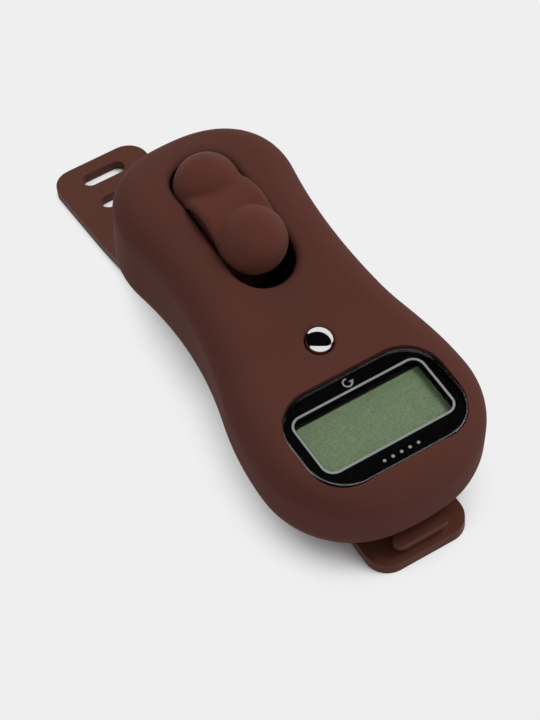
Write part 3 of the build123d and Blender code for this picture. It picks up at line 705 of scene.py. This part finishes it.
# The reset button: a small brass cap turned with a low dome, a flange that keeps it under the shell
# and a stem down to its switch, all plated with bright chrome.
cap_radius = 2.25 * mm
cap_land = 0.35 * mm
cap_rise = 0.95 * mm
cap_edge = 0.12 * mm
flange_radius = 3.1 * mm
flange_top = -1.85 * mm
flange_bottom = -2.45 * mm
stem_radius = 1.4 * mm
stem_foot = -4.59 * mm
dome_height = cap_rise - cap_land
dome_radius = (cap_radius**2 + dome_height**2) / (2 * dome_height)
dome_sweep = asin((cap_radius - cap_edge) / dome_radius)
dome_steps = 14
dome = []
for step in range(dome_steps, -1, -1):
    angle = dome_sweep * step / dome_steps
    dome.append((dome_radius * sin(angle), cap_rise - dome_radius * (1 - cos(angle))))
dome_foot = dome[0][1]
cap = turned(
    [
        (0, stem_foot),
        ((1 - round_middle) * stem_radius, stem_foot + round_middle * stem_radius),
        (stem_radius, stem_foot + stem_radius),
        (stem_radius, flange_bottom),
        (flange_radius, flange_bottom),
        (flange_radius, flange_top),
        (cap_radius, flange_top),
        (cap_radius, dome_foot - cap_edge),
        (cap_radius - round_middle * cap_edge, dome_foot - round_middle * cap_edge),
        *dome,
    ],
    steps=96,
)
settle(cap, button_place)
chrome = plain_finish(
    "bright_chrome", (0.88, 0.88, 0.87), roughness=0.05, metallic=1.0, specular=0.5, wear=0.1
)
dress(cap, "button_cap", chrome, "button", sharp_angle=35)
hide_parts("reset_button")

# The display: a reflective liquid-crystal glass, blank, with the grey-green of its rear film, whose
# fine sparkle shows through the lens. It keeps its solid's shape.
sparkle_dark = (0.105, 0.160, 0.100, 1.0)
sparkle_pale = (0.370, 0.480, 0.280, 1.0)
mottle_tint = (0.90, 0.91, 0.89, 1.0)
glass_face, nodes, links = bare_material("display_face")
glass_shader = nodes.new("ShaderNodeBsdfPrincipled")
glass_shader.inputs["Roughness"].default_value = 0.5
glass_shader.inputs["Specular IOR Level"].default_value = 0.1
sparkle = nodes.new("ShaderNodeGroup")
sparkle.node_tree = coat_grain
sparkle.inputs["Grain Scale"].default_value = 2900.0
sparkle.inputs["Mottle Scale"].default_value = 260.0
fine = nodes.new("ShaderNodeMix")
fine.data_type = "RGBA"
fine.inputs["A"].default_value = sparkle_dark
fine.inputs["B"].default_value = sparkle_pale
broad = nodes.new("ShaderNodeMix")
broad.data_type = "RGBA"
broad.blend_type = "MULTIPLY"
broad.inputs["B"].default_value = mottle_tint
glass_out = nodes.new("ShaderNodeOutputMaterial")
links.new(sparkle.outputs["Grain"], fine.inputs["Factor"])
links.new(fine.outputs["Result"], broad.inputs["A"])
links.new(sparkle.outputs["Mottle"], broad.inputs["Factor"])
links.new(broad.outputs["Result"], glass_shader.inputs["Base Color"])
links.new(glass_shader.outputs["BSDF"], glass_out.inputs["Surface"])
glass_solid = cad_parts["lcd_cell"]
glass_solid.data.materials.clear()
glass_solid.data.materials.append(glass_face)

# The film behind the lens: thin, printed black, cut to the lens's outline with a window for the
# display. It lies under the lens and hides the rim of the display's holder.
film_level = 15.38 * mm
film_thick = 0.12 * mm
film_window_spans = (23.7 * mm, 10.9 * mm)
film_window_corner = 1.5 * mm
film_window_shift = 0.35 * mm
black_film = plain_finish(
    "black_film", (0.004, 0.004, 0.0045), roughness=0.6, metallic=0.0, specular=0.0, wear=0.2
)
film = rounded_plate(*lens_spans, film_thick, lens_corner)
film_window = rounded_plate(*film_window_spans, 4 * film_thick, film_window_corner)
settle(film_window, Matrix.Translation((0, film_window_shift, -film_thick)))
combine(film, film_window, "DIFFERENCE")
settle(film, lens_place @ Matrix.Translation((0, 0, film_level - film_thick)))
dress(film, "lens_film", black_film, "housing", sharp_angle=30)
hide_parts("lens_mask")

# The display's holder: a dark moulded frame over the glass, open below, with a narrow lip round the
# part that shows. It stands on the board and keeps the glass on its contact strip.
holder_place = Vector((0, -24.0, 11.03)) * mm
holder_spans = (26.2 * mm, 15.6 * mm)
holder_high = 3.18 * mm
holder_corner = 1.6 * mm
inner_corner = 0.4 * mm
cut_below = 1 * mm
cavity_spans = (24.6 * mm, 14.0 * mm)
cavity_top = 2.8 * mm
opening_spans = (24.0 * mm, 10.85 * mm)
opening_top = 5 * mm
opening_shift = -1.17 * mm
holder = rounded_plate(*holder_spans, holder_high, holder_corner)
cavity = rounded_plate(*cavity_spans, cut_below + cavity_top, inner_corner)
settle(cavity, Matrix.Translation((0, 0, -cut_below)))
combine(holder, cavity, "DIFFERENCE")
opening = rounded_plate(*opening_spans, cut_below + opening_top, inner_corner)
settle(opening, Matrix.Translation((0, opening_shift, -cut_below)))
combine(holder, opening, "DIFFERENCE")
settle(holder, housing_place @ Matrix.Translation(holder_place))
dress(holder, "display_holder", dark_moulding, "housing", sharp_angle=30)
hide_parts("lcd_frame")

# The print on the film: a silver line round the window, a small turning arrow over it for the reset
# and a row of dots under it. All are thin layers of ink.
silver_print = plain_finish(
    "silver_print", (0.42, 0.45, 0.43), roughness=0.4, metallic=0.0, specular=0.5, wear=0.06
)
print_thick = 0.012 * mm
line_width = 0.4 * mm
line_spans = (24.9 * mm, 12.2 * mm)
line_corner = 2.2 * mm
line_shift = (0.12 * mm, 0.6 * mm)
line = rounded_plate(*line_spans, print_thick, line_corner)
line_window = rounded_plate(
    line_spans[0] - 2 * line_width,
    line_spans[1] - 2 * line_width,
    4 * print_thick,
    line_corner - line_width,
)
settle(line_window, Matrix.Translation((0, 0, -print_thick)))
combine(line, line_window, "DIFFERENCE")
settle(line, lens_place @ Matrix.Translation((*line_shift, film_level)))
dress(line, "window_line", silver_print, "housing", sharp_angle=30)

arrow_radius = 0.75 * mm
arrow_width = 0.26 * mm
arrow_sweep = radians(285)
arrow_head = 0.5 * mm
arrow_head_shift = -0.1 * mm
arrow_along = 7.95 * mm
arrow_lift = 0.01 * mm
bpy.ops.object.select_all(action="DESELECT")
bpy.ops.mesh.primitive_plane_add(size=mm)
arrow = bpy.context.active_object
bpy.ops.object.mode_set(mode="EDIT")
bpy.ops.mesh.select_mode(type="VERT")
bpy.ops.mesh.select_all(action="SELECT")
bpy.ops.mesh.merge(type="CENTER")
bpy.ops.transform.translate(value=(arrow_radius - arrow_width / 2, 0, 0))
bpy.ops.mesh.extrude_region_move(TRANSFORM_OT_translate={"value": (arrow_width, 0, 0)})
bpy.ops.mesh.select_all(action="SELECT")
bpy.ops.mesh.spin(steps=36, angle=arrow_sweep, center=(0, 0, 0), axis=(0, 0, 1))
bpy.ops.object.mode_set(mode="OBJECT")
bpy.ops.object.select_all(action="DESELECT")
bpy.ops.mesh.primitive_circle_add(
    vertices=3,
    radius=arrow_head,
    fill_type="NGON",
    location=(arrow_radius, arrow_head_shift, 0),
    rotation=(0, 0, pi),
)
arrow.select_set(True)
bpy.context.view_layer.objects.active = arrow
bpy.ops.object.join()
bpy.ops.object.modifier_add(type="SOLIDIFY")
arrow.modifiers[-1].thickness = print_thick
bpy.ops.object.modifier_apply(modifier=arrow.modifiers[-1].name)
settle(arrow, lens_place @ Matrix.Translation((0, arrow_along, film_level + arrow_lift)))
dress(arrow, "reset_mark", silver_print, "housing", sharp_angle=30)

dot_count = 5
dot_pitch = 1.6 * mm
dot_radius = 0.28 * mm
dot_along = -7.4 * mm
for number in range(dot_count):
    dot = turned([(0, 0), (dot_radius, 0), (dot_radius, print_thick), (0, print_thick)], steps=24)
    dot_across = dot_pitch * (number - (dot_count - 1) / 2)
    settle(dot, lens_place @ Matrix.Translation((dot_across, dot_along, film_level)))
    dress(dot, f"film_dot_{number + 1}", silver_print, "housing", sharp_angle=30)

# The lens: clear acrylic, cut as a rounded plate with a polished round edge, laid in its pocket
# with its face just under the coat.
lens_thick = 1.5 * mm
lens_round = 0.45 * mm
lens_border = 0.08 * mm
lens_level = 15.4 * mm
top_facing = 0.999
lens = rounded_plate(*lens_spans, lens_thick, lens_corner)
choose_nothing("FACE")
for face in lens.data.polygons:
    face.select = face.normal.z > top_facing
bpy.ops.object.mode_set(mode="EDIT")
bpy.ops.mesh.bevel(offset=lens_round, segments=6, affect="EDGES")
bpy.ops.object.mode_set(mode="OBJECT")
for face in lens.data.polygons:
    face.select = face.normal.z > top_facing
bpy.ops.object.mode_set(mode="EDIT")
bpy.ops.mesh.inset(thickness=lens_border)
bpy.ops.object.mode_set(mode="OBJECT")
settle(lens, lens_place @ Matrix.Translation((0, 0, lens_level)))
clear, nodes, links = bare_material("clear_lens")
glass = nodes.new("ShaderNodeBsdfPrincipled")
glass.inputs["Base Color"].default_value = white
glass.inputs["Roughness"].default_value = 0.02
glass.inputs["IOR"].default_value = 1.46
glass.inputs["Transmission Weight"].default_value = 1.0
open_air = nodes.new("ShaderNodeBsdfTransparent")
light_path = nodes.new("ShaderNodeLightPath")
mix = nodes.new("ShaderNodeMixShader")
out = nodes.new("ShaderNodeOutputMaterial")
links.new(light_path.outputs["Is Shadow Ray"], mix.inputs["Fac"])
links.new(glass.outputs["BSDF"], mix.inputs[1])
links.new(open_air.outputs["BSDF"], mix.inputs[2])
links.new(mix.outputs["Shader"], out.inputs["Surface"])
dress(lens, "lens_pane", clear, "housing", sharp_angle=5)
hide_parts("display_lens")

# The strap: one silicone moulding that runs under the belly through the keepers, with a stud at its
# near end, four slots at its far end and edges rounded by the mould.
strap_round = 0.35 * mm
flat_angle = radians(0.5)
edge_angle = radians(40)
strap = merged_copy("strap")
bpy.ops.object.mode_set(mode="EDIT")
bpy.ops.mesh.select_all(action="SELECT")
bpy.ops.mesh.dissolve_limited(angle_limit=flat_angle)
bpy.ops.object.mode_set(mode="OBJECT")
bpy.ops.object.modifier_add(type="BEVEL")
strap.modifiers[-1].width = strap_round
strap.modifiers[-1].segments = 3
strap.modifiers[-1].limit_method = "ANGLE"
strap.modifiers[-1].angle_limit = edge_angle
bpy.ops.object.modifier_apply(modifier=strap.modifiers[-1].name)
strap_coat = matte_coat(
    "strap_silicone",
    colour=(0.084, 0.0285, 0.0185),
    pale=(0.090, 0.0310, 0.0205),
    roughness=0.55,
    specular=0.12,
    sheen=0.04,
    grain_scale=4000.0,
    grain_depth=0.02 * mm,
)
dress(strap, "strap_band", strap_coat, "housing", sharp_angle=32)
flat_faces_lead(strap)
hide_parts("strap")
